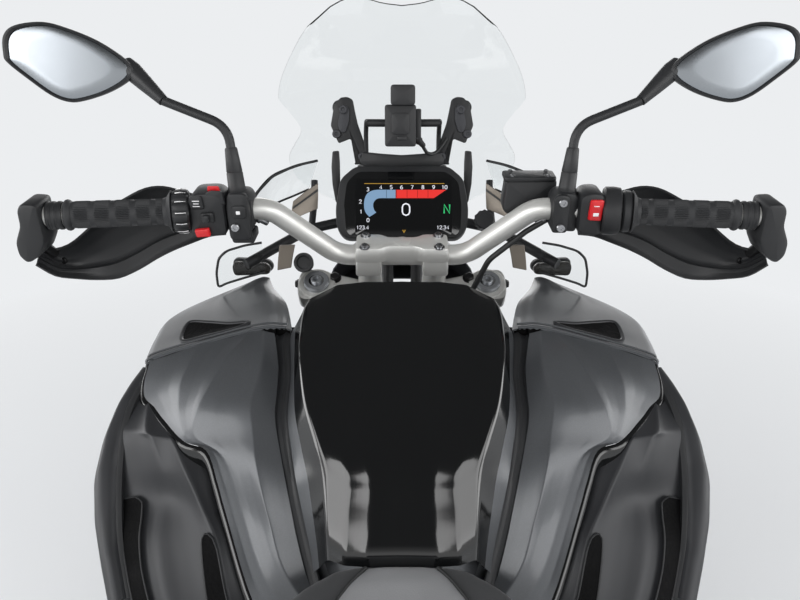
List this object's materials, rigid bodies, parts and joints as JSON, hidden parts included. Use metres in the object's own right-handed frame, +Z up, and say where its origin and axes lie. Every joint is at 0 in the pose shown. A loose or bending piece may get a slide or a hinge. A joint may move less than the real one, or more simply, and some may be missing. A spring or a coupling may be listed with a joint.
{
  "type": "adventure motorcycle, flat-twin with shaft drive",
  "caption": "Adventure motorcycle with a flat-twin engine, tall windscreen, hand guards, crash bars, luggage rack, centre stand and side stand.",
  "frame": {"origin": "on the floor, in the middle of the bounding box", "axes": "+Y forward, +X to the rider's right, +Z up"},
  "size_m": [0.996, 2.2691, 1.417],
  "materials": {
    "tyre_rubber": "matte",
    "rim_black": "gloss",
    "disc_steel": "satin",
    "fork_chrome": "polished",
    "fork_silver": "satin",
    "anodised_silver": "satin",
    "grip_rubber": "matte",
    "moulded_black": "matte",
    "caliper_black": "satin",
    "engine_grey": "satin",
    "cover_silver": "satin",
    "brushed_plate": "satin",
    "exhaust_steel": "satin",
    "frame_black": "satin",
    "strut_steel": "satin",
    "drive_grey": "satin",
    "paint_grey": "gloss",
    "gloss_black": "gloss",
    "paint_dark_grey": "gloss",
    "satin_grey": "satin",
    "radiator_black": "matte",
    "clear_screen": "gloss",
    "display_black": "gloss",
    "smoked_lens": "gloss",
    "lamp_lens": "gloss",
    "seat_vinyl": "matte",
    "rack_steel": "satin",
    "red_lens": "gloss",
    "footrest_grey": "satin",
    "hose_rubber": "matte"
  },
  "bodies": {
    "chassis": {"cockpit_frame": "moulded_black", "control_arm": "frame_black", "cowls": "satin_grey", "crash_bars": "rack_steel", "cylinders": "engine_grey", "deflectors": "clear_screen", "display": "display_black", "engine": "engine_grey", "exhaust": "exhaust_steel", "footrests": "footrest_grey", "frame": "frame_black", "front_indicators": "smoked_lens", "fuel_tank": "paint_grey", "head_covers": "cover_silver", "headlamp": "lamp_lens", "luggage_rack": "rack_steel", "nav_cradle": "moulded_black", "nose": "paint_dark_grey", "passenger_seat": "seat_vinyl", "plate_holder": "moulded_black", "radiators": "radiator_black", "rear_lamps": "red_lens", "rider_seat": "seat_vinyl", "silencer": "exhaust_steel", "skid_plate": "brushed_plate", "suspension_struts": "strut_steel", "swingarm": "drive_grey", "tank_cover": "gloss_black", "tank_panels": "paint_dark_grey", "windscreen": "clear_screen"},
    "steering": {"fork_tubes": "fork_chrome", "fork_legs": "fork_silver", "top_yoke": "anodised_silver", "bar_clamp": "anodised_silver", "handlebar": "anodised_silver", "grips": "grip_rubber", "controls": "moulded_black", "hand_guards": "moulded_black", "mirrors": "moulded_black", "front_mudguard": "moulded_black", "front_calipers": "caliper_black", "brake_hoses": "hose_rubber"},
    "front_wheel": {"front_rim": "rim_black", "front_tyre": "tyre_rubber", "front_discs": "disc_steel"},
    "rear_wheel": {"rear_rim": "rim_black", "rear_tyre": "tyre_rubber", "rear_disc": "disc_steel"},
    "centre_stand": {"centre_stand": "frame_black"},
    "side_stand": {"side_stand": "frame_black"}
  },
  "joints": [
    {"name": "steering_turn", "type": "hinge", "parent": "chassis", "child": "steering", "pos_m": [0, 0.42121, 1.0431], "axis": [0, -0.421, 0.907], "range_deg": [-35, 35]},
    {"name": "front_wheel_spin", "type": "hinge", "parent": "steering", "child": "front_wheel", "pos_m": [0, 0.81, 0.325], "axis": [1, 0, 0], "continuous": true},
    {"name": "rear_wheel_spin", "type": "hinge", "parent": "chassis", "child": "rear_wheel", "pos_m": [0, -0.694, 0.343], "axis": [1, 0, 0], "continuous": true},
    {"name": "centre_stand_fold", "type": "hinge", "parent": "chassis", "child": "centre_stand", "pos_m": [0, -0.165, 0.3], "axis": [1, 0, 0], "range_deg": [-98, 0]},
    {"name": "side_stand_fold", "type": "hinge", "parent": "chassis", "child": "side_stand", "pos_m": [-0.182, -0.072, 0.278], "axis": [0.8904, 0, -0.4552], "range_deg": [0, 98]}
  ]
}
